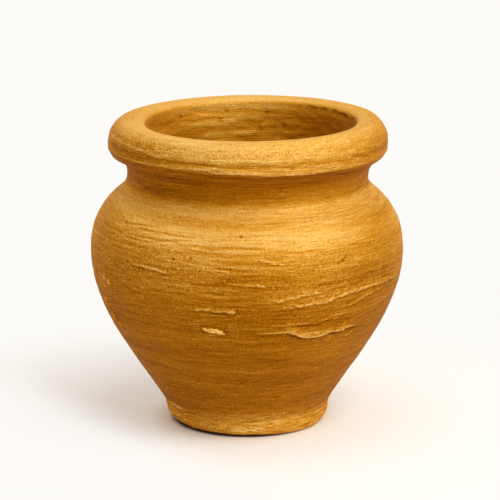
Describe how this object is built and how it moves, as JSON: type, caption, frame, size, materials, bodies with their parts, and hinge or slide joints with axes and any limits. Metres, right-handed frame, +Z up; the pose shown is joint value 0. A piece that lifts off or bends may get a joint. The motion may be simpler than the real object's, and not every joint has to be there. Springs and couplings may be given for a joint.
{
  "type": "clay pot",
  "caption": "Round open-mouthed clay pot with a thick rolled rim, drawn-in neck, full belly and narrow foot, for holding small goods, dry food or a plant.",
  "frame": {"origin": "centre of the flat underside that the pot stands on", "axes": "+Z up along the pot's axis, out of the mouth; -Y towards the pictured side, +X to its right"},
  "size_m": [0.1, 0.1, 0.0984],
  "materials": {
    "gold_painted_clay": "matte gold paint brushed over rough fired clay"
  },
  "bodies": {
    "root": {"floor_disc": "gold_painted_clay", "foot_ring": "gold_painted_clay", "lower_wall": "gold_painted_clay", "shoulder_wall": "gold_painted_clay", "rim_roll": "gold_painted_clay"}
  },
  "joints": []
}
